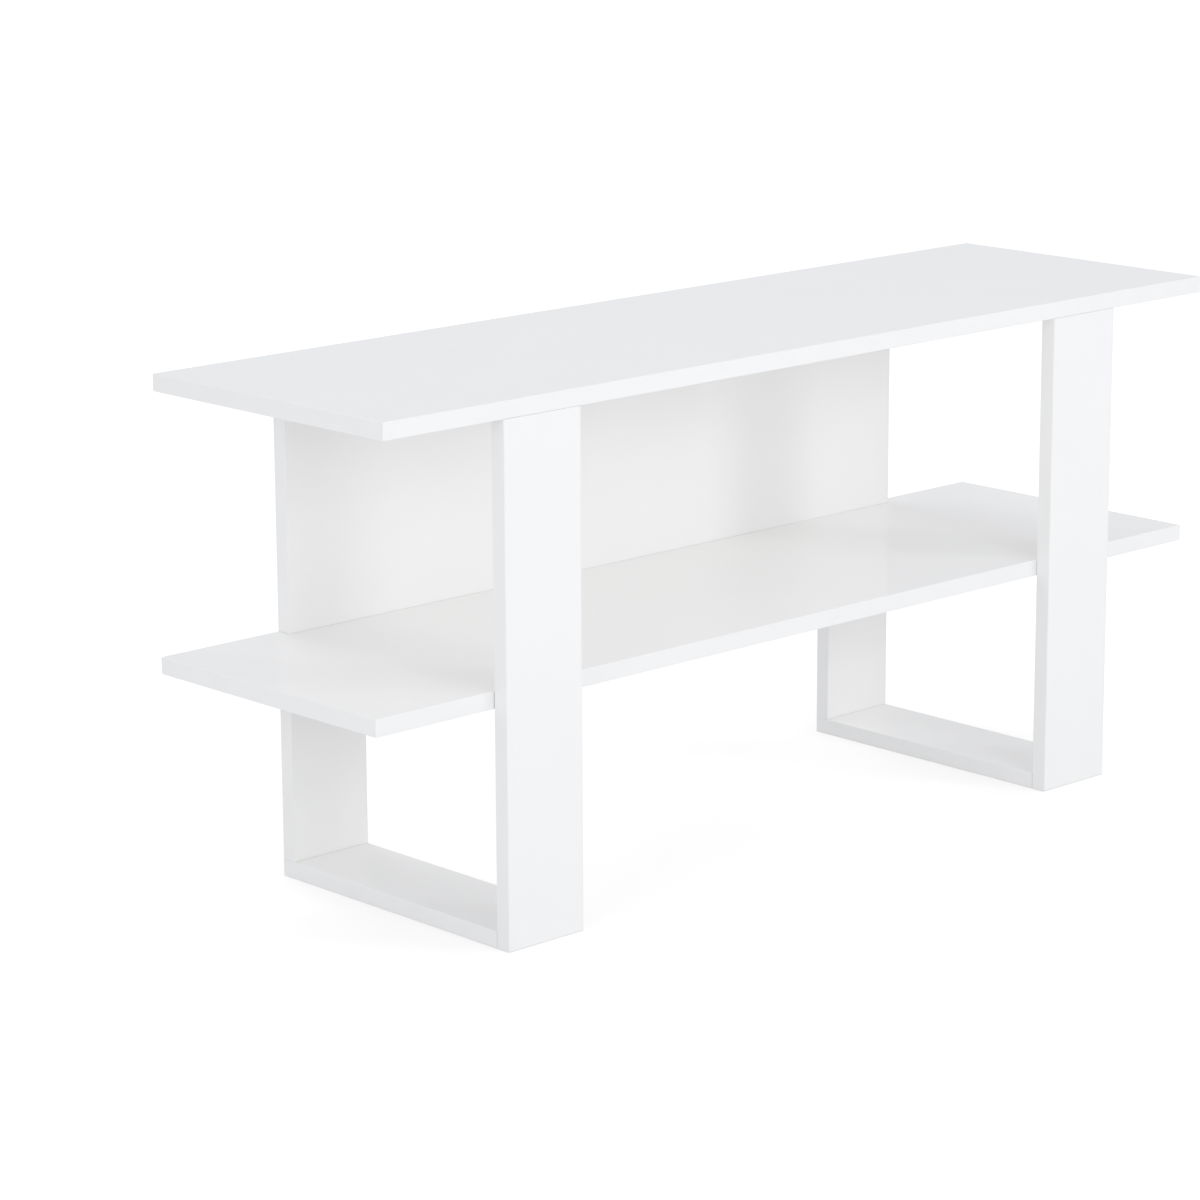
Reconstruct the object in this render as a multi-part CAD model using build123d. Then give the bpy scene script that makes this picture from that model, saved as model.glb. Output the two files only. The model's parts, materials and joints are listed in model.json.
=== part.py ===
"""Low console table of white gloss panels, flat-packed and held with cam fittings.

The table is a top, an open shelf and a back panel between them, carried on two leg frames.
Each frame is a full-height front leg, a floor rail behind it and a short rear leg that
stands on the rail and carries the shelf. The front legs stand in front of the shelf.

Millimetres. X runs along the table, the front faces -Y and +Z is up. The origin is on the
floor, below the middle of the top. One STEP file is written for each sub-part.
"""

from build123d import *
import math
import os

# ---------------------------------------------------------------- driving sizes: panels
TOP_LENGTH = 1200.0
TOP_DEPTH = 350.0
HEIGHT = 550.0
BOARD = 18.0  # thickness of every panel
SHELF_UNDERSIDE = 244.0  # clear height below the shelf
LEG_WIDTH = 100.0
END_OVERHANG = 150.0  # from the end of the top to the outer side of a leg frame
BAND = 1.0  # thickness of the edge bands
EDGE_RADIUS = 0.9  # milled round of a banded edge, inside the band

# ---------------------------------------------------------------- driving sizes: where fittings go
PAIR_EDGE = 18.0  # from the side of a leg to the middle of the nearest fitting
CAM_SET = 34.0  # from a joint's face to the middle of its cam
BLIND_FLOOR = 6.0  # left of the panel behind a bore in its face
BORE_END_GAP = 0.5  # between a bore's end and the bolt, dowel or screw in it
GRIP_CLEARANCE = 0.02  # radial, between a bore and what grips it
BOLT_CLEARANCE = 0.6  # radial, between a bore and the bolt that slides into it

# ---------------------------------------------------------------- driving sizes: cams
CAM_BORE = 15.0
CAM_CLEARANCE = 0.1  # around a cam in its bore, and at the shoulder that it pulls
CAM_BORE_PAST_MIDDLE = 4.5  # depth of a cam's bore past the middle of the panel
CAM_SINK = 0.3  # from the panel's face down to a cam, and from a cam to its bore's floor
CAM_HOLLOW = 10.4  # inside diameter of a cam
CAM_THROW = 0.5  # a cam's hollow lies off its axis by this
CAM_PLAY = 0.3  # around the head and neck of a bolt inside a cam
CAM_TRACK_START = -35.0  # degrees about the cam, of the slot for a bolt's neck
CAM_TRACK_TURN = 200.0
DRIVE_LENGTH = 7.5  # cross slot in the face of a cam
DRIVE_WIDTH = 1.3
DRIVE_DEPTH = 3.0
ARROW_RADIUS = 0.9  # mark in a cam's face that points at its bolt
ARROW_INSET = 1.6
ARROW_DEPTH = 0.4

# ---------------------------------------------------------------- driving sizes: cam bolts
BOLT_SHAFT = 6.8
BOLT_COLLAR_LENGTH = 1.2
BOLT_COLLAR_STEP = 0.5  # the collar stands out from the shaft by this
BOLT_NECK = 4.2
BOLT_HEAD = 6.6
BOLT_HEAD_LENGTH = 2.8
BOLT_CHAMFER = 1.0  # at the head, the thread's tip and the start of the neck
BOLT_THREAD = 6.0
BOLT_THREAD_PITCH = 2.2
BOLT_THREAD_RELIEF = 0.6  # plain length between the collar and the thread
THREAD_DEPTH = 0.55  # from the crest of a thread to its root
THREAD_ROOT_SHARE = 0.4  # of the pitch
THREAD_CREST_AT = 0.7  # of the pitch

# ---------------------------------------------------------------- driving sizes: dowels, screws, caps
DOWEL_DIAMETER = 8.0
DOWEL_IN_EDGE = 18.5
DOWEL_CHAMFER = 1.0
DOWEL_FLUTES = 12
FLUTE_DIAMETER = 0.9

SCREW_DIAMETER = 7.0
SCREW_LENGTH = 50.0
SCREW_HEAD = 10.0
SCREW_HEAD_RIM = 1.0
SCREW_HEAD_LENGTH = 4.0
SCREW_SINK = 0.3  # head below the rail's underside
SCREW_TIP = 4.0
SCREW_PITCH = 3.0
SCREW_SOCKET = 4.0  # hexagon, across its flats
SCREW_SOCKET_DEPTH = 2.8

CAP_RIM = 1.0  # a cap covers its bore by this much all round
CAP_THICKNESS = 1.1
CAP_ROUND = 0.5
CAP_PEG_DEPTH = 2.6
CAP_PEG_CLEARANCE = 0.1

# ---------------------------------------------------------------- sizes and places that follow
half_length = TOP_LENGTH / 2
front = -TOP_DEPTH / 2
rear = TOP_DEPTH / 2
leg_back = front + BOARD  # rear face of the front legs, where the shelf and the rails start
panel_front = rear - BOARD  # front face of the back panel and of the rear legs
shelf_top = SHELF_UNDERSIDE + BOARD
top_underside = HEIGHT - BOARD
frame_outer = half_length - END_OVERHANG
frame_inner = frame_outer - LEG_WIDTH

front_leg_y = front + BOARD / 2  # middles of the panels, where their joints are
rear_y = rear - BOARD / 2
shelf_z = SHELF_UNDERSIDE + BOARD / 2
rail_z = BOARD / 2
leg_centre = (frame_outer + frame_inner) / 2
pair_offset = LEG_WIDTH / 2 - PAIR_EDGE  # a leg's two fittings, from its middle
panel_dowel_x = leg_centre / 2

face_bore_depth = BOARD - BLIND_FLOOR
grip_length = face_bore_depth - BORE_END_GAP  # of a bolt or dowel in a panel's face
cam_bore_depth = BOARD / 2 + CAM_BORE_PAST_MIDDLE
cam_radius = CAM_BORE / 2 - CAM_CLEARANCE
bolt_bore = BOLT_SHAFT + 2 * BOLT_CLEARANCE
head_reach = math.sqrt((CAM_HOLLOW / 2) ** 2 - (BOLT_HEAD / 2) ** 2)
bolt_shoulder = CAM_SET + CAM_THROW + CAM_CLEARANCE - head_reach  # from the joint's face

UP = Vector(0, 0, 1)
DOWN = Vector(0, 0, -1)
BACK = Vector(0, 1, 0)
ON_BASE = (Align.CENTER, Align.CENTER, Align.MIN)
BELOW = (Align.CENTER, Align.CENTER, Align.MAX)

nodes = {}  # node name: list of solids


# ---------------------------------------------------------------- panels
def block(spans):
    """A box from its low and high values on each axis."""
    size = [high - low for low, high in spans]
    middle = [(low + high) / 2 for low, high in spans]
    return Pos(*middle) * Box(*size)


def boxes_meet(one, other):
    """Whether two bounding boxes share space."""
    return all(
        getattr(one.min, axis) < getattr(other.max, axis)
        and getattr(other.min, axis) < getattr(one.max, axis)
        for axis in "XYZ"
    )


class Panel:
    """A board with edge bands on the sides that show. The joints add its bores."""

    def __init__(self, name, x, y, z, bands):
        """bands maps a side, such as "-y", to the band's name, the longest bands first."""
        self.name = name
        self.spans = [tuple(sorted(span)) for span in (x, y, z)]
        self.bands = bands
        self.cuts = []

    def broad_faces(self):
        """The two sides across the board's thickness."""
        thin = min("xyz", key=lambda axis: self.span(axis)[1] - self.span(axis)[0])
        return {"-" + thin, "+" + thin}

    def span(self, axis):
        return self.spans["xyz".index(axis)]

    def sides_of(self, edge):
        """The two sides that an edge of the box lies on, such as {"-y", "+z"}."""
        found = set()
        for axis, place in zip("xyz", edge.center()):
            low, high = self.span(axis)
            if math.isclose(place, low, abs_tol=BAND / 2):
                found.add("-" + axis)
            elif math.isclose(place, high, abs_tol=BAND / 2):
                found.add("+" + axis)
        return found

    def edge_layer(self, side):
        """The outer layer of the box on one side, as thick as a band."""
        low, high = self.span(side[1])
        spans = list(self.spans)
        spans["xyz".index(side[1])] = (low, low + BAND) if side[0] == "-" else (high - BAND, high)
        return block(spans)

    def build(self):
        """Adds the board and its bands to the nodes, with their bores cut."""
        board = block(self.spans)
        banded = set(self.bands)
        rounded = [
            edge
            for edge in board.edges()
            if self.sides_of(edge) & banded and self.sides_of(edge) <= banded | self.broad_faces()
        ]
        board = fillet(rounded, EDGE_RADIUS)
        for side, band_name in self.bands.items():
            layer = self.edge_layer(side)
            self.add_node(f"{self.name}_{band_name}", board & layer)
            board = board - layer
        self.add_node(self.name, board)

    def add_node(self, name, piece):
        """Stores a piece of the panel, less the bores that reach it."""
        box = piece.bounding_box()
        near = [cut for cut in self.cuts if boxes_meet(box, cut.bounding_box())]
        nodes[name] = [(piece - near if near else piece).solid()]


# ---------------------------------------------------------------- fittings, each in its own frame
def turned(profile):
    """A solid of revolution about Z from (radius, height) points."""
    outline = Polyline(*[(radius, 0, height) for radius, height in profile], close=True)
    return revolve(make_face(outline), axis=Axis.Z)


def thread_ridges(diameter, start, end, pitch):
    """Profile points of a ridged thread from start to end."""
    crest = diameter / 2
    root = crest - THREAD_DEPTH
    turns = max(1, int((end - start) / pitch))
    step = (end - start) / turns
    points = []
    for turn in range(turns):
        base = start + turn * step
        points.append((root, base))
        points.append((root, base + THREAD_ROOT_SHARE * step))
        points.append((crest, base + THREAD_CREST_AT * step))
    points.append((root, end))
    return points


def drive_cross(shrink, depth):
    """The cross slot of a cam down from Z = 0, or the peg in it, smaller by shrink all round."""
    length = DRIVE_LENGTH - 2 * shrink
    width = DRIVE_WIDTH - 2 * shrink
    return Box(length, width, depth, align=BELOW) + Box(width, length, depth, align=BELOW)


def make_cam():
    """A cam, locked. Z = 0 is its panel's face, and the bolt comes to it from +X."""
    foot = CAM_SINK - cam_bore_depth
    middle = -BOARD / 2
    body = Pos(0, 0, foot) * Cylinder(cam_radius, -CAM_SINK - foot, align=ON_BASE)
    hollow = Pos(-CAM_THROW, 0, middle) * Cylinder(CAM_HOLLOW / 2, BOLT_HEAD + 2 * CAM_PLAY)
    # The bolt's head went in through this side before the cam was turned.
    entry = Pos(-cam_radius, 0, middle) * Rot(0, 90, 0) * Cylinder(
        BOLT_HEAD / 2 + CAM_PLAY, 2 * cam_radius
    )
    track = Pos(0, 0, middle) * Rot(0, 0, CAM_TRACK_START) * Cylinder(
        CAM_BORE / 2,
        BOLT_NECK + 2 * CAM_PLAY,
        arc_size=CAM_TRACK_TURN,
        align=(Align.NONE, Align.NONE, Align.CENTER),
    )
    drive = Pos(0, 0, -CAM_SINK) * drive_cross(0, DRIVE_DEPTH)
    arrow = Pos(cam_radius - ARROW_INSET, 0, -CAM_SINK) * extrude(
        RegularPolygon(radius=ARROW_RADIUS, side_count=3), amount=-ARROW_DEPTH
    )
    return (body - hollow - entry - track - drive - arrow).solid()


def bolt_end():
    """Profile of a bolt's shaft, neck and head. Height 0 is the joint's face."""
    neck_start = CAM_SET - CAM_BORE / 2 - CAM_PLAY
    end = bolt_shoulder + BOLT_HEAD_LENGTH
    return [
        (BOLT_SHAFT / 2, neck_start - BOLT_CHAMFER),
        (BOLT_NECK / 2, neck_start),
        (BOLT_NECK / 2, bolt_shoulder),
        (BOLT_HEAD / 2, bolt_shoulder),
        (BOLT_HEAD / 2, end - BOLT_CHAMFER),
        (BOLT_HEAD / 2 - BOLT_CHAMFER, end),
        (0, end),
    ]


def make_cam_bolt():
    """A bolt from a panel's face, at Z = 0, up into a cam."""
    collar = BOLT_SHAFT / 2 + BOLT_COLLAR_STEP
    profile = [(0, -grip_length), (BOLT_THREAD / 2 - BOLT_CHAMFER, -grip_length)]
    profile += thread_ridges(
        BOLT_THREAD, BOLT_CHAMFER - grip_length, -BOLT_THREAD_RELIEF, BOLT_THREAD_PITCH
    )
    profile += [(BOLT_THREAD / 2 - THREAD_DEPTH, 0), (collar, 0), (collar, BOLT_COLLAR_LENGTH)]
    profile += [(BOLT_SHAFT / 2, BOLT_COLLAR_LENGTH)]
    return turned(profile + bolt_end()).solid()


def make_through_bolt():
    """A bolt with a head at both ends. Z = 0 is the upper face of the panel it goes through."""
    upper = bolt_end()
    lower = [(radius, -BOARD - height) for radius, height in reversed(upper)]
    return turned(lower + upper).solid()


def make_dowel():
    """A fluted dowel, its shorter end below Z = 0 in a panel's face."""
    length = grip_length + DOWEL_IN_EDGE
    rod = Cylinder(DOWEL_DIAMETER / 2, length, align=ON_BASE)
    rod = chamfer(rod.edges().filter_by(GeomType.CIRCLE), DOWEL_CHAMFER)
    flute = Cylinder(FLUTE_DIAMETER / 2, length, align=ON_BASE)
    flutes = [place * flute for place in PolarLocations(DOWEL_DIAMETER / 2, DOWEL_FLUTES)]
    return Pos(0, 0, -grip_length) * (rod - flutes).solid()


def screw_head(clearance):
    """The profile of a screw's head, or of the bore for it, from its face to its shank."""
    return [
        (SCREW_HEAD / 2 + clearance, SCREW_SINK + SCREW_HEAD_RIM),
        (SCREW_DIAMETER / 2 + clearance, SCREW_SINK + SCREW_HEAD_LENGTH),
    ]


def make_screw():
    """A panel screw driven up. Z = 0 is the face that its head sinks into."""
    end = SCREW_SINK + SCREW_LENGTH
    thread = thread_ridges(SCREW_DIAMETER, BOARD, end - SCREW_TIP, SCREW_PITCH)
    head = [(0, SCREW_SINK), (SCREW_HEAD / 2, SCREW_SINK)] + screw_head(0)
    body = turned(head + thread + [(0, end)])
    hexagon = RegularPolygon(radius=SCREW_SOCKET / 2, side_count=6, major_radius=False)
    return (body - Pos(0, 0, SCREW_SINK) * extrude(hexagon, amount=SCREW_SOCKET_DEPTH)).solid()


def make_cap():
    """A cover cap on a panel's face at Z = 0, with a peg in the cross slot of the cam below."""
    disc = Cylinder(CAM_BORE / 2 + CAP_RIM, CAP_THICKNESS, align=ON_BASE)
    disc = fillet(disc.edges().filter_by(GeomType.CIRCLE).sort_by(Axis.Z)[-1], CAP_ROUND)
    return (disc + drive_cross(CAP_PEG_CLEARANCE, CAP_PEG_DEPTH)).solid()


CAM = make_cam()
CAM_BOLT = make_cam_bolt()
THROUGH_BOLT = make_through_bolt()
DOWEL = make_dowel()
SCREW = make_screw()
CAP = make_cap()


# ---------------------------------------------------------------- joints
def put(node, location, fitting):
    """Adds one more fitting to the node of its kind."""
    nodes.setdefault(node, []).append(location * fitting)


def bore(start, direction, diameter, depth):
    """The cut of a drill that goes in at start."""
    drill = Cylinder(diameter / 2, depth, align=ON_BASE)
    return Plane(origin=start, z_dir=direction).location * drill


def add_cam(panel, joint, into, opening, cams, caps=None):
    """A cam in the panel whose edge meets the joint, and the bores for it and its bolt.

    into points from the joint into the panel. opening points out of the cam's bore.
    """
    mouth = joint + into * CAM_SET + opening * (BOARD / 2)
    place = Plane(origin=mouth, z_dir=opening, x_dir=-into).location
    panel.cuts.append(bore(joint, into, bolt_bore, CAM_SET))
    panel.cuts.append(bore(mouth, -opening, CAM_BORE, cam_bore_depth))
    put(cams, place, CAM)
    if caps:
        put(caps, place, CAP)


def add_bolt(panel, joint, into, bolts):
    """A bolt screwed into the face of a panel. into points at the panel that it pulls."""
    panel.cuts.append(bore(joint, -into, BOLT_THREAD + 2 * GRIP_CLEARANCE, face_bore_depth))
    put(bolts, Plane(origin=joint, z_dir=into).location, CAM_BOLT)


def add_dowel(face_panel, edge_panel, joint, into, dowels):
    """A dowel from the face of one panel into the edge of another."""
    diameter = DOWEL_DIAMETER + 2 * GRIP_CLEARANCE
    face_panel.cuts.append(bore(joint, -into, diameter, face_bore_depth))
    edge_panel.cuts.append(bore(joint, into, diameter, DOWEL_IN_EDGE + BORE_END_GAP))
    put(dowels, Plane(origin=joint, z_dir=into).location, DOWEL)


def add_through_bolt(panel, joint, bolts):
    """A double-headed bolt through a panel, from the cam above it to the cam below it."""
    panel.cuts.append(bore(joint, DOWN, bolt_bore, BOARD))
    put(bolts, Pos(joint), THROUGH_BOLT)


def add_screw(rail, leg, x, screws):
    """A screw up through a floor rail into the end of the rear leg."""
    start = Vector(x, rear_y, 0)
    sink = turned(
        [(0, 0), (SCREW_HEAD / 2 + GRIP_CLEARANCE, 0)]
        + screw_head(GRIP_CLEARANCE)
        + [(SCREW_DIAMETER / 2 + GRIP_CLEARANCE, BOARD), (0, BOARD)]
    )
    rail.cuts.append(Pos(start) * sink)
    reach = SCREW_SINK + SCREW_LENGTH + BORE_END_GAP - BOARD
    diameter = SCREW_DIAMETER + 2 * GRIP_CLEARANCE
    leg.cuts.append(bore(start + UP * BOARD, UP, diameter, reach))
    put(screws, Pos(start), SCREW)


# ---------------------------------------------------------------- top, shelf and back panel
ENDS = {"-x": "left_band", "+x": "right_band"}
ALL_ROUND = {"-y": "front_band", "+y": "rear_band"} | ENDS
full_length = (-half_length, half_length)
frame_span = (-frame_outer, frame_outer)
top_panel = Panel(
    "top_panel", full_length, (front, rear), (top_underside, HEIGHT), ALL_ROUND
)
shelf = Panel(
    "shelf", full_length, (leg_back, rear), (SHELF_UNDERSIDE, shelf_top), ALL_ROUND
)
back_panel = Panel(
    "back_panel", frame_span, (panel_front, rear), (shelf_top, top_underside), ENDS
)
panels = [top_panel, shelf, back_panel]

for x in (-leg_centre, 0, leg_centre):
    joint = Vector(x, rear_y, top_underside)
    add_bolt(top_panel, joint, DOWN, "back_to_top_bolts")
    add_cam(back_panel, joint, DOWN, BACK, "back_to_top_cams", "back_panel_caps")
for x in (-leg_centre - pair_offset, -panel_dowel_x, panel_dowel_x, leg_centre + pair_offset):
    joint = Vector(x, rear_y, top_underside)
    add_dowel(top_panel, back_panel, joint, DOWN, "back_to_top_dowels")

joint = Vector(0, rear_y, shelf_top)
add_bolt(shelf, joint, UP, "back_to_shelf_bolt")
add_cam(back_panel, joint, UP, BACK, "back_to_shelf_cams", "back_panel_caps")
for x in (-panel_dowel_x, panel_dowel_x):
    joint = Vector(x, rear_y, shelf_top)
    add_dowel(shelf, back_panel, joint, UP, "back_to_shelf_dowels")


# ---------------------------------------------------------------- leg frames
def add_leg_frame(side, sign):
    """A front leg, a floor rail and a rear leg, and their joints to each other and the rest."""
    width = (sign * frame_inner, sign * frame_outer)
    outer, inner = ("-x", "+x") if sign < 0 else ("+x", "-x")
    long_sides = {outer: "outer_band", inner: "inner_band"}
    front_leg = Panel(
        f"{side}_front_leg",
        width,
        (front, leg_back),
        (0, top_underside),
        long_sides | {"-z": "foot_band"},
    )
    rear_leg = Panel(
        f"{side}_rear_leg", width, (panel_front, rear), (BOARD, SHELF_UNDERSIDE), long_sides
    )
    rail = Panel(
        f"{side}_rail", width, (leg_back, rear), (0, BOARD), long_sides | {"+y": "rear_band"}
    )
    panels.extend([front_leg, rear_leg, rail])

    centre = sign * leg_centre
    for x in (centre - pair_offset, centre + pair_offset):
        joint = Vector(x, front_leg_y, top_underside)
        add_bolt(top_panel, joint, DOWN, "leg_to_top_bolts")
        add_cam(front_leg, joint, DOWN, BACK, "leg_to_top_cams", "front_leg_caps")

        joint = Vector(x, leg_back, shelf_z)
        add_bolt(front_leg, joint, BACK, "shelf_to_leg_bolts")
        add_cam(shelf, joint, BACK, DOWN, "shelf_to_leg_cams", "shelf_caps")

        joint = Vector(x, leg_back, rail_z)
        add_bolt(front_leg, joint, BACK, "rail_to_leg_bolts")
        add_cam(rail, joint, BACK, DOWN, "rail_to_leg_cams")

        # The back panel and the rear leg clamp the shelf between them on one bolt.
        joint = Vector(x, rear_y, shelf_top)
        add_through_bolt(shelf, joint, "shelf_through_bolts")
        add_cam(back_panel, joint, UP, BACK, "back_to_shelf_cams", "back_panel_caps")
        joint = Vector(x, rear_y, SHELF_UNDERSIDE)
        add_cam(rear_leg, joint, DOWN, BACK, "rear_leg_to_shelf_cams", "rear_leg_caps")

        add_screw(rail, rear_leg, x, "rail_to_rear_leg_screws")

    joint = Vector(centre, front_leg_y, top_underside)
    add_dowel(top_panel, front_leg, joint, DOWN, "leg_to_top_dowels")
    joint = Vector(centre, leg_back, shelf_z)
    add_dowel(front_leg, shelf, joint, BACK, "shelf_to_leg_dowels")
    joint = Vector(centre, leg_back, rail_z)
    add_dowel(front_leg, rail, joint, BACK, "rail_to_leg_dowels")
    joint = Vector(centre, rear_y, SHELF_UNDERSIDE)
    add_dowel(shelf, rear_leg, joint, DOWN, "rear_leg_to_shelf_dowels")
    joint = Vector(centre, rear_y, BOARD)
    add_dowel(rail, rear_leg, joint, UP, "rail_to_rear_leg_dowels")


add_leg_frame("left", -1)
add_leg_frame("right", 1)

# ---------------------------------------------------------------- write the sub-parts
for panel in panels:
    panel.build()

os.makedirs("parts", exist_ok=True)
for name, solids in nodes.items():
    shape = solids[0] if len(solids) == 1 else Compound(children=solids)
    export_step(shape, f"parts/{name}.step")
print(len(nodes), "nodes,", sum(len(solids) for solids in nodes.values()), "solids")
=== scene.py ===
"""Looks of the white gloss console table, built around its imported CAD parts. Metres, +Z up."""

import json
import math

import bpy
from mathutils import Matrix, Vector


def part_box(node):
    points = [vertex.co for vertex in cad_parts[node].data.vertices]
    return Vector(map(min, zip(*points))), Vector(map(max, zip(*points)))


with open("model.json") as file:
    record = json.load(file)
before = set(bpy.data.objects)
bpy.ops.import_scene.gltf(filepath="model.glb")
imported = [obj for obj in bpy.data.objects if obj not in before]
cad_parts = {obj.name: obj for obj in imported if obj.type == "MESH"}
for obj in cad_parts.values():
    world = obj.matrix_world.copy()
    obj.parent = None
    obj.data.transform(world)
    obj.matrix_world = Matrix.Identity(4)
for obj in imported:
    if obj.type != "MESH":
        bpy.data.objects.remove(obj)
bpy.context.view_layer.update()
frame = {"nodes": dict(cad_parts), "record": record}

# ---------------------------------------------------------------- camera
CAMERA_AZIMUTH = math.radians(-43.233)  # 0 looks along +Y
CAMERA_ELEVATION = math.radians(13.712)
CAMERA_ROLL = math.radians(-0.273)
CAMERA_PLACE = Vector((-2.9633, -2.9804, 1.2743))
CAMERA_LENS = 121.31  # millimetres, for a sensor 36 wide


def make_camera():
    """The camera, at the photograph's viewing angle."""
    data = bpy.data.cameras.new("camera")
    data.sensor_width = 36
    data.lens = CAMERA_LENS
    camera = bpy.data.objects.new("camera", data)
    bpy.context.scene.collection.objects.link(camera)
    turn = (
        Matrix.Rotation(CAMERA_AZIMUTH, 4, "Z")
        @ Matrix.Rotation(math.pi / 2 - CAMERA_ELEVATION, 4, "X")
        @ Matrix.Rotation(CAMERA_ROLL, 4, "Z")
    )
    camera.matrix_world = Matrix.Translation(CAMERA_PLACE) @ turn
    bpy.context.scene.camera = camera


make_camera()


# ---------------------------------------------------------------- shader building
class Finish:
    """One node material, with short calls for the nodes that the finishes below share."""

    def __init__(self, name):
        self.material = bpy.data.materials.new(name)
        self.material.use_nodes = True
        self.tree = self.material.node_tree
        self.shader = self.tree.nodes["Principled BSDF"]
        where = self.add("ShaderNodeTexCoord")
        self.place = where.outputs["Object"]  # metres, the same as the world at rest
        self.share = where.outputs["Generated"]  # 0 to 1 across the node's box

    def add(self, kind, inputs=None, **settings):
        """A new node with its settings, and its inputs joined or filled in."""
        node = self.tree.nodes.new(kind)
        for key, value in settings.items():
            setattr(node, key, value)
        for key, value in (inputs or {}).items():
            self.put(value, node.inputs[key])
        return node

    def put(self, value, socket):
        """Joins another node's output to a socket, or fills in a plain value."""
        if isinstance(value, bpy.types.NodeSocket):
            self.tree.links.new(value, socket)
        else:
            socket.default_value = value

    def set(self, **inputs):
        """Fills in the Principled shader: Base_Color stands for its input "Base Color"."""
        for key, value in inputs.items():
            self.put(value, self.shader.inputs[key.replace("_", " ")])

    def stretched(self, stretch, offset=0.0):
        """Places for a texture that is drawn out along X, Y and Z by these factors."""
        node = self.add("ShaderNodeMapping", {"Vector": self.place})
        node.inputs["Scale"].default_value = tuple(1 / s for s in stretch)
        node.inputs["Location"].default_value = (offset, offset, offset)
        return node.outputs[0]

    def noise(self, size, stretch=(1, 1, 1), detail=2.0, offset=0.0):
        """Noise with features of about this size in metres."""
        inputs = {"Vector": self.stretched(stretch, offset), "Scale": 1 / size, "Detail": detail}
        return self.add("ShaderNodeTexNoise", inputs).outputs["Fac"]

    def chips(self, size, stretch=(1, 1, 1)):
        """Cells of random grey, for wood chips or cast grain."""
        inputs = {"Vector": self.stretched(stretch), "Scale": 1 / size}
        cells = self.add("ShaderNodeTexVoronoi", inputs)
        return self.add("ShaderNodeSeparateColor", {"Color": cells.outputs["Color"]}).outputs[0]

    def span(self, value, low, high, to_low=0.0, to_high=1.0):
        """Maps low..high to to_low..to_high, and stops at both ends."""
        inputs = {"Value": value, "From Min": low, "From Max": high}
        inputs |= {"To Min": to_low, "To Max": to_high}
        return self.add("ShaderNodeMapRange", inputs).outputs["Result"]

    def math(self, operation, a, b=0.0):
        """One arithmetic step."""
        return self.add("ShaderNodeMath", {0: a, 1: b}, operation=operation).outputs[0]

    def along(self, vector, axis):
        """One coordinate of a vector."""
        return self.add("ShaderNodeSeparateXYZ", {"Vector": vector}).outputs[axis]

    def mix(self, factor, a, b):
        """Colour a where factor is 0, b where it is 1."""
        node = self.add("ShaderNodeMix", {"Factor": factor, 6: a, 7: b}, data_type="RGBA")
        return node.outputs[2]

    def blend(self, factor, a, b):
        """Number a where factor is 0, b where it is 1."""
        return self.add("ShaderNodeMix", {"Factor": factor, 2: a, 3: b}).outputs[0]

    def bump(self, height, distance, under=None):
        """A bump whose full height is distance in metres, on top of another bump."""
        inputs = {"Height": height, "Distance": distance}
        if under is not None:
            inputs["Normal"] = under
        return self.add("ShaderNodeBump", inputs).outputs["Normal"]


# ---------------------------------------------------------------- finishes
# Sizes and heights are in metres. A roughness is a low and a high value.
AXES = "xyz"
NOISE_MIDDLE = (0.35, 0.65)  # the part of a noise's range that is stretched to 0..1

WHITE = (0.9, 0.885, 0.857, 1)
WHITE_THICK = (0.885, 0.871, 0.844, 1)  # where the white coat lies a little thicker
WHITE_PATCH = 0.11
SKIN = 0.0003  # thickness of the white face on the chipboard
BOARD_ROUGHNESS = (0.035, 0.075)
BOARD_IOR = 1.5
SMEAR_SIZE = 0.06
SMEAR_LENGTH = 2.5  # times its width, along the table
PRESS_WAVE_SIZE = 0.16
PRESS_WAVE_HEIGHT = 0.00012
ORANGE_PEEL_SIZE = 0.0032
ORANGE_PEEL_HEIGHT = 0.000006

CHIP_DARK = (0.33, 0.21, 0.11, 1)
CHIP_PALE = (0.62, 0.47, 0.31, 1)
CHIP_DUST = (0.2, 0.12, 0.06, 1)
CHIP_SIZE = 0.0014
CHIP_HEIGHT = 0.0002
CHIP_WIDTH = 3.0  # times its thickness: chips lie flat in the board
DUST_SIZE = 0.0005
DUST_AMOUNT = 0.6
CORE_ROUGHNESS = 0.9

BAND_WHITE = (0.885, 0.872, 0.848, 1)
BAND_SHADE = (0.862, 0.849, 0.826, 1)
BAND_TONE_PATCH = 0.05
BAND_ROUGHNESS = (0.05, 0.14)
BAND_IOR = 1.49
DRAWN_LINE_WIDTH = 0.0016
DRAWN_LINE_LENGTH = 60.0  # times its width
DRAWN_LINE_SHADE = 0.35
DRAWN_LINE_HEIGHT = 0.000008
RIPPLE_SIZE = 0.012
RIPPLE_HEIGHT = 0.00001
GLUE = (0.5, 0.47, 0.42, 1)
GLUE_SHARE = 0.12  # of a band's thickness

# Painted shade: within JOINT_REACH of another surface, found by an ambient occlusion node, a colour
# is darkened towards a dark grey, in joints, creases and along the floor.
JOINT_SHADE_GREY = (0.05, 0.05, 0.05, 1)
JOINT_REACH = 0.003  # how far away another surface still darkens a colour with painted joint shade
JOINT_OPEN_SKY = (0.2, 0.5)  # dark below the first share of open sky, clear above the second

ZINC_DARK = (0.42, 0.42, 0.44, 1)
ZINC_PALE = (0.66, 0.66, 0.68, 1)
ZINC_ROUGHNESS = (0.34, 0.55)
ZINC_CLOUD_SIZE = 0.004
CAST_SIZE = 0.0012
CAST_HEIGHT = 0.00004
PEBBLE_SIZE = 0.0005
PEBBLE_HEIGHT = 0.00003

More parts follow.
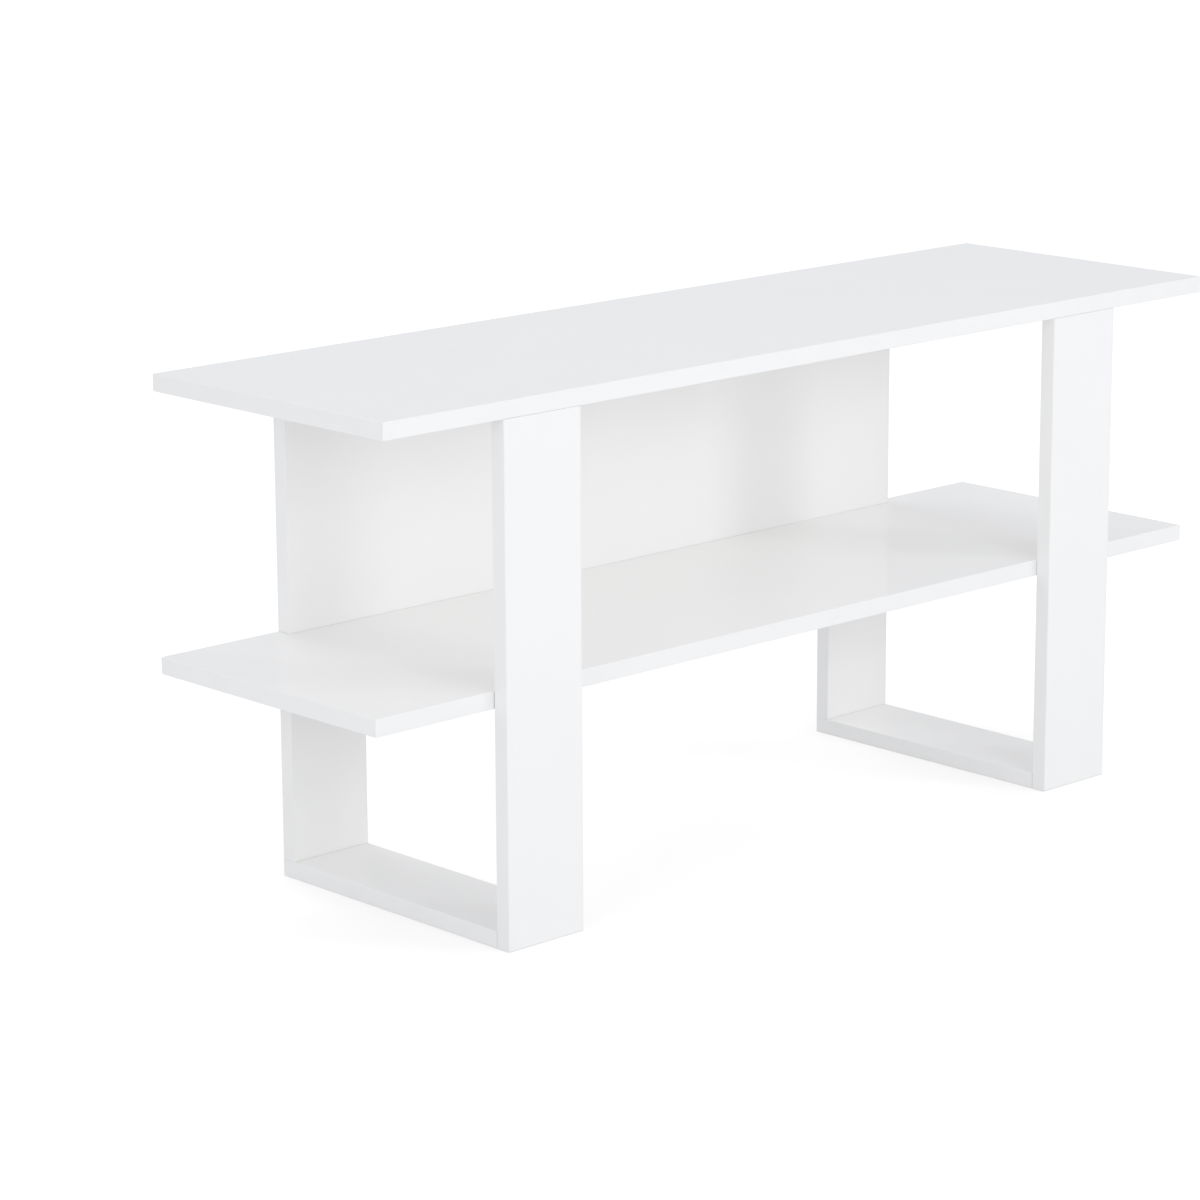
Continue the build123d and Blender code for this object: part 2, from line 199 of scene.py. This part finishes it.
PLATING_YELLOW = (0.74, 0.69, 0.56, 1)
PLATING_BLUE = (0.66, 0.68, 0.72, 1)
PLATING_PATCH = 0.005
STEEL_WORN = (0.42, 0.41, 0.39, 1)
STEEL_WORN_AMOUNT = 0.4
STEEL_ROUGHNESS = (0.2, 0.36)
RING_SIZE = 0.00025
RING_WIDTH = 12.0  # times its size, across the axis
RING_HEIGHT = 0.00002

BEECH_DARK = (0.5, 0.31, 0.16, 1)
BEECH_PALE = (0.76, 0.56, 0.36, 1)
BEECH_ROUGHNESS = (0.5, 0.75)
GRAIN_SIZE = 0.0009
GRAIN_LENGTH = 14.0  # times its width
GRAIN_HEIGHT = 0.00005
FLECK = (0.3, 0.16, 0.08, 1)
FLECK_SIZE = 0.0004
FLECK_LENGTH = 5.0  # times its width
FLECK_AMOUNT = 0.6

CAP_WHITE = (0.85, 0.84, 0.81, 1)
CAP_SHADE = (0.82, 0.81, 0.785, 1)
CAP_PATCH = 0.004
CAP_ROUGHNESS = (0.3, 0.46)
SPARK_SIZE = 0.0003
SPARK_HEIGHT = 0.00001


def with_painted_joint_shade(finish, colour):
    """The colour, with painted shade: darkened where an ambient occlusion node finds another surface
    close by, as in the joints between panels.
    """
    inputs = {"Distance": JOINT_REACH}
    open_sky = finish.add("ShaderNodeAmbientOcclusion", inputs, samples=4).outputs["AO"]
    return finish.mix(finish.span(open_sky, *JOINT_OPEN_SKY), JOINT_SHADE_GREY, colour)


def stretch_along(axis, factor, others=1.0):
    """Stretch factors for a texture that runs along one axis."""
    stretch = [others, others, others]
    stretch[axis] = factor
    return stretch


def chipboard_core(finish, axis):
    """The colour of the chipboard, and its chips, which lie across this axis."""
    flat = stretch_along(axis, 1.0, others=CHIP_WIDTH)
    chip = finish.chips(CHIP_SIZE, flat)
    dust = finish.span(finish.noise(DUST_SIZE, flat, detail=3.0), 0.45, 0.7, 0.0, DUST_AMOUNT)
    return finish.mix(dust, finish.mix(chip, CHIP_DARK, CHIP_PALE), CHIP_DUST), chip


def board_finish(name, axis, thickness):
    """High-gloss white faces on a chipboard core, which shows in bores and under the bands."""
    finish = Finish(name)
    off_middle = finish.math("SUBTRACT", finish.along(finish.share, axis), 0.5)
    is_face = finish.math("GREATER_THAN", finish.math("ABSOLUTE", off_middle), 0.5 - SKIN / thickness)

    coat = finish.span(finish.noise(WHITE_PATCH, detail=3.0), *NOISE_MIDDLE)
    # painted shade darkens the white in joints and creases
    white = with_painted_joint_shade(finish, finish.mix(coat, WHITE, WHITE_THICK))
    core, chip = chipboard_core(finish, axis)

    smears = finish.noise(SMEAR_SIZE, stretch_along(0, SMEAR_LENGTH), detail=4.0, offset=3.1)
    gloss = finish.span(smears, 0.35, 0.75, *BOARD_ROUGHNESS)
    press_wave = finish.bump(finish.noise(PRESS_WAVE_SIZE, detail=1.0), PRESS_WAVE_HEIGHT)
    peel = finish.noise(ORANGE_PEEL_SIZE, detail=1.0)
    orange_peel = finish.bump(peel, ORANGE_PEEL_HEIGHT, press_wave)
    relief = finish.bump(finish.blend(is_face, chip, 0.5), CHIP_HEIGHT, orange_peel)
    finish.set(Base_Color=finish.mix(is_face, core, white), Normal=relief)
    finish.set(Roughness=finish.blend(is_face, CORE_ROUGHNESS, gloss), IOR=BOARD_IOR)
    return finish.material


def band_finish(name, axis, board_is_higher, length_axis):
    """Gloss plastic edge band: faint drawn lines along it, and a glue line on its board side."""
    finish = Finish(name)
    drawn_out = stretch_along(length_axis, DRAWN_LINE_LENGTH)
    lines = finish.noise(DRAWN_LINE_WIDTH, drawn_out, detail=3.0)
    tone = finish.span(finish.noise(BAND_TONE_PATCH, offset=1.7), *NOISE_MIDDLE)
    white = finish.mix(tone, BAND_WHITE, BAND_SHADE)
    white = finish.mix(finish.span(lines, 0.55, 0.8, 0.0, DRAWN_LINE_SHADE), white, BAND_SHADE)
    from_board = finish.along(finish.share, axis)
    if board_is_higher:
        from_board = finish.math("SUBTRACT", 1.0, from_board)
    white = finish.mix(finish.math("LESS_THAN", from_board, GLUE_SHARE), white, GLUE)
    drawn = finish.bump(lines, DRAWN_LINE_HEIGHT)
    ripple = finish.bump(finish.noise(RIPPLE_SIZE, detail=1.0), RIPPLE_HEIGHT, drawn)
    # painted shade darkens the band in joints and creases
    finish.set(Base_Color=with_painted_joint_shade(finish, white), Normal=ripple)
    finish.set(Roughness=finish.span(lines, 0.3, 0.75, *BAND_ROUGHNESS), IOR=BAND_IOR)
    return finish.material


def zinc_finish(name):
    """Die-cast zinc: dull grey, pebbled by the mould, with duller patches."""
    finish = Finish(name)
    cloud = finish.noise(ZINC_CLOUD_SIZE, detail=4.0)
    cast = finish.bump(finish.noise(CAST_SIZE, detail=3.0), CAST_HEIGHT)
    finish.set(Base_Color=finish.mix(cloud, ZINC_DARK, ZINC_PALE), Metallic=1.0)
    finish.set(Roughness=finish.span(cloud, 0.3, 0.7, *ZINC_ROUGHNESS))
    finish.set(Normal=finish.bump(finish.chips(PEBBLE_SIZE), PEBBLE_HEIGHT, cast))
    return finish.material


def steel_finish(name, axis):
    """Plated steel, turned: fine rings round the axis, and a faint yellow and blue cast."""
    finish = Finish(name)
    rings = finish.noise(RING_SIZE, stretch_along(axis, 1.0, others=RING_WIDTH))
    plating = finish.mix(finish.noise(PLATING_PATCH), PLATING_YELLOW, PLATING_BLUE)
    worn = finish.span(rings, 0.5, 0.8, 0.0, STEEL_WORN_AMOUNT)
    finish.set(Base_Color=finish.mix(worn, plating, STEEL_WORN), Metallic=1.0)
    finish.set(Roughness=finish.span(rings, 0.3, 0.7, *STEEL_ROUGHNESS))
    finish.set(Normal=finish.bump(rings, RING_HEIGHT))
    return finish.material


def beech_finish(name, axis):
    """Beech with its grain along the dowel, and the short dark flecks of its rays."""
    finish = Finish(name)
    grain = finish.noise(GRAIN_SIZE, stretch_along(axis, GRAIN_LENGTH), detail=4.0)
    rays = finish.noise(FLECK_SIZE, stretch_along(axis, FLECK_LENGTH), offset=5.3)
    flecks = finish.span(rays, 0.6, 0.72, 0.0, FLECK_AMOUNT)
    wood = finish.mix(grain, BEECH_DARK, BEECH_PALE)
    finish.set(Base_Color=finish.mix(flecks, wood, FLECK))
    finish.set(Roughness=finish.span(grain, 0.3, 0.7, *BEECH_ROUGHNESS))
    finish.set(Normal=finish.bump(grain, GRAIN_HEIGHT))
    return finish.material


def cap_finish(name):
    """Satin moulded plastic, lightly spark-textured."""
    finish = Finish(name)
    spark = finish.noise(SPARK_SIZE, detail=3.0)
    white = finish.mix(finish.noise(CAP_PATCH), CAP_WHITE, CAP_SHADE)
    # painted shade darkens the cap where it meets the board
    finish.set(Base_Color=with_painted_joint_shade(finish, white))
    finish.set(Roughness=finish.span(spark, 0.3, 0.7, *CAP_ROUGHNESS))
    finish.set(Normal=finish.bump(spark, SPARK_HEIGHT))
    return finish.material


# ---------------------------------------------------------------- a finish for every CAD node
LEVEL_JOINTS = ("shelf_to_leg", "rail_to_leg")  # their fittings lie along Y, all others stand
slots = {part["node"]: part["material_slot"] for part in frame["record"]["subparts"]}
boards = [name for name, slot in slots.items() if slot == "white_board"]
finishes = {}


def extents(name):
    """A node's size along X, Y and Z, and its middle."""
    low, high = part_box(name)
    return high - low, (low + high) / 2


def shared(key, make, *values):
    """The finish of this name, made only once."""
    if key not in finishes:
        finishes[key] = make(key, *values)
    return finishes[key]


def board_or_band_finish(name):
    """The finish of a panel or of the band on its edge, by the way that it lies."""
    slot = slots[name]
    size, middle = extents(name)
    thin = min(range(3), key=lambda axis: size[axis])
    if slot == "white_board":
        return shared(f"{slot}_{AXES[thin]}", board_finish, thin, size[thin])
    long = max(range(3), key=lambda axis: size[axis])
    board = next(board for board in boards if name.startswith(board))
    board_is_higher = extents(board)[1][thin] > middle[thin]
    side = "low" if board_is_higher else "high"
    key = f"{slot}_{AXES[thin]}_{side}_{AXES[long]}"
    return shared(key, band_finish, thin, board_is_higher, long)


def finish_of(name):
    """The finish that a node's slot and direction call for."""
    slot = slots[name]
    if slot in ("white_board", "white_edge_band"):
        return board_or_band_finish(name)
    axis = 1 if name.startswith(LEVEL_JOINTS) else 2
    if slot == "bolt_steel":
        return shared(f"{slot}_{AXES[axis]}", steel_finish, axis)
    if slot == "beech_dowel":
        return shared(f"{slot}_{AXES[axis]}", beech_finish, axis)
    if slot == "cam_zinc":
        return shared(slot, zinc_finish)
    return shared(slot, cap_finish)


for name, node in frame["nodes"].items():
    node.data.materials[0] = finish_of(name)


# ---------------------------------------------------------------- floor and light
FLOOR_GREY = (0.6, 0.6, 0.6, 1)
FLOOR_HALF = 20.0
FLOOR_GAP = 0.0005  # from the feet and the cove down to the grey floor
STAGE_ROUGHNESS = 0.9
COVE_WHITE = (0.92, 0.9, 0.87, 1)
# radius and height of each ring, from the floor up to the rim of the wall
COVE_RINGS = ((1.0, 0.0), (4.0, 0.0), (16.0, 0.0), (19.0, 1.0), (20.0, 4.0), (20.0, 16.0))
COVE_SIDES = 64
GLOW_NEAR = 0.33  # strength of the cove's glow round the table, where faint shadows still show
GLOW_FAR = 0.6
GLOW_STARTS = 0.8  # distance from the origin at which the glow begins to grow
GLOW_FULL = 3.0  # and at which it has reached GLOW_FAR
SKY = (0.955, 0.985, 1.055, 1)
SKY_STRENGTH = 0.53
LAMP_COLOUR = (0.965, 0.99, 1.04)
LAMP_AIM = Vector((0, 0, 0.3))  # near the middle of the table
VIEW_GAMMA = 2.0  # gives the photograph's low contrast
# the place, width, height and watts of each lamp
LAMPS = {
    "key_right": ((2.3, -4.1, 1.8), 0.7, 1.2, 42.5),
    "key_left": ((-0.33, -2.3, 1.15), 0.6, 1.4, 10.8),
    "front_low": ((0.2, -3.2, 0.5), 1.5, 0.8, 3.4),
    "overhead_rear": ((0.0, 1.8, 2.2), 1.5, 1.5, 15.5),
    "overhead_front": ((0.3, -1.5, 2.8), 1.5, 1.5, 6.0),
    "side_left": ((-3.0, -0.9, 1.0), 1.2, 1.6, 20.5),
    "side_right": ((3.0, -0.1, 0.8), 1.2, 1.4, 18.0),
    "rear": ((0.0, 3.0, 0.5), 1.5, 1.0, 4.5),
}


def make_stage(name, points, faces, colour):
    """A plain matt floor or backdrop."""
    mesh = bpy.data.meshes.new(name)
    mesh.from_pydata(points, [], faces)
    mesh.shade_smooth()
    stage = bpy.data.objects.new(name, mesh)
    bpy.context.scene.collection.objects.link(stage)
    finish = Finish(name)
    finish.set(Base_Color=colour, Roughness=STAGE_ROUGHNESS)
    mesh.materials.append(finish.material)
    return stage, finish


def make_floor():
    """The pale grey floor that lights the table from below. The camera sees the cove instead."""
    corners = ((-1, -1), (1, -1), (1, 1), (-1, 1))
    points = [(x * FLOOR_HALF, y * FLOOR_HALF, -FLOOR_GAP) for x, y in corners]
    floor, _ = make_stage("floor", points, [(0, 1, 2, 3)], FLOOR_GREY)
    floor.visible_camera = False


def make_cove():
    """The white floor that the camera sees, curving up into a wall all round, lit up to white."""
    turns = [2 * math.pi * side / COVE_SIDES for side in range(COVE_SIDES)]
    points = [
        (radius * math.cos(turn), radius * math.sin(turn), height)
        for radius, height in COVE_RINGS
        for turn in turns
    ]
    faces = [tuple(range(COVE_SIDES))]
    for start in range(0, len(points) - COVE_SIDES, COVE_SIDES):
        for side in range(COVE_SIDES):
            here = start + side
            beside = start + (side + 1) % COVE_SIDES
            faces.append((here, here + COVE_SIDES, beside + COVE_SIDES, beside))
    cove, finish = make_stage("cove", points, faces, COVE_WHITE)
    away = finish.add("ShaderNodeVectorMath", {0: finish.place}, operation="LENGTH").outputs["Value"]
    glow = finish.span(away, GLOW_STARTS, GLOW_FULL, GLOW_NEAR, GLOW_FAR)
    finish.set(Emission_Color=(1, 1, 1, 1), Emission_Strength=glow)
    cove.visible_diffuse = False
    cove.visible_glossy = False
    cove.visible_shadow = False


def make_lamp(name, place, width, height, watts):
    """A soft box that faces the table."""
    data = bpy.data.lights.new(name, "AREA")
    data.shape = "RECTANGLE"
    data.size = width
    data.size_y = height
    data.energy = watts
    data.color = LAMP_COLOUR
    lamp = bpy.data.objects.new(name, data)
    lamp.location = place
    lamp.rotation_mode = "QUATERNION"
    lamp.rotation_quaternion = (LAMP_AIM - Vector(place)).to_track_quat("-Z", "Y")
    lamp.visible_camera = False
    lamp.visible_glossy = False  # or its mirror image would wipe out an end of the table
    bpy.context.scene.collection.objects.link(lamp)


def make_sky():
    """Even light from all round, as in a white studio."""
    world = bpy.data.worlds.new("world")
    world.use_nodes = True
    background = world.node_tree.nodes["Background"]
    background.inputs["Color"].default_value = SKY
    background.inputs["Strength"].default_value = SKY_STRENGTH
    bpy.context.scene.world = world


make_floor()
make_cove()
make_sky()
for name, lamp in LAMPS.items():
    make_lamp(name, *lamp)
bpy.context.scene.view_settings.view_transform = "Standard"
bpy.context.scene.view_settings.gamma = VIEW_GAMMA
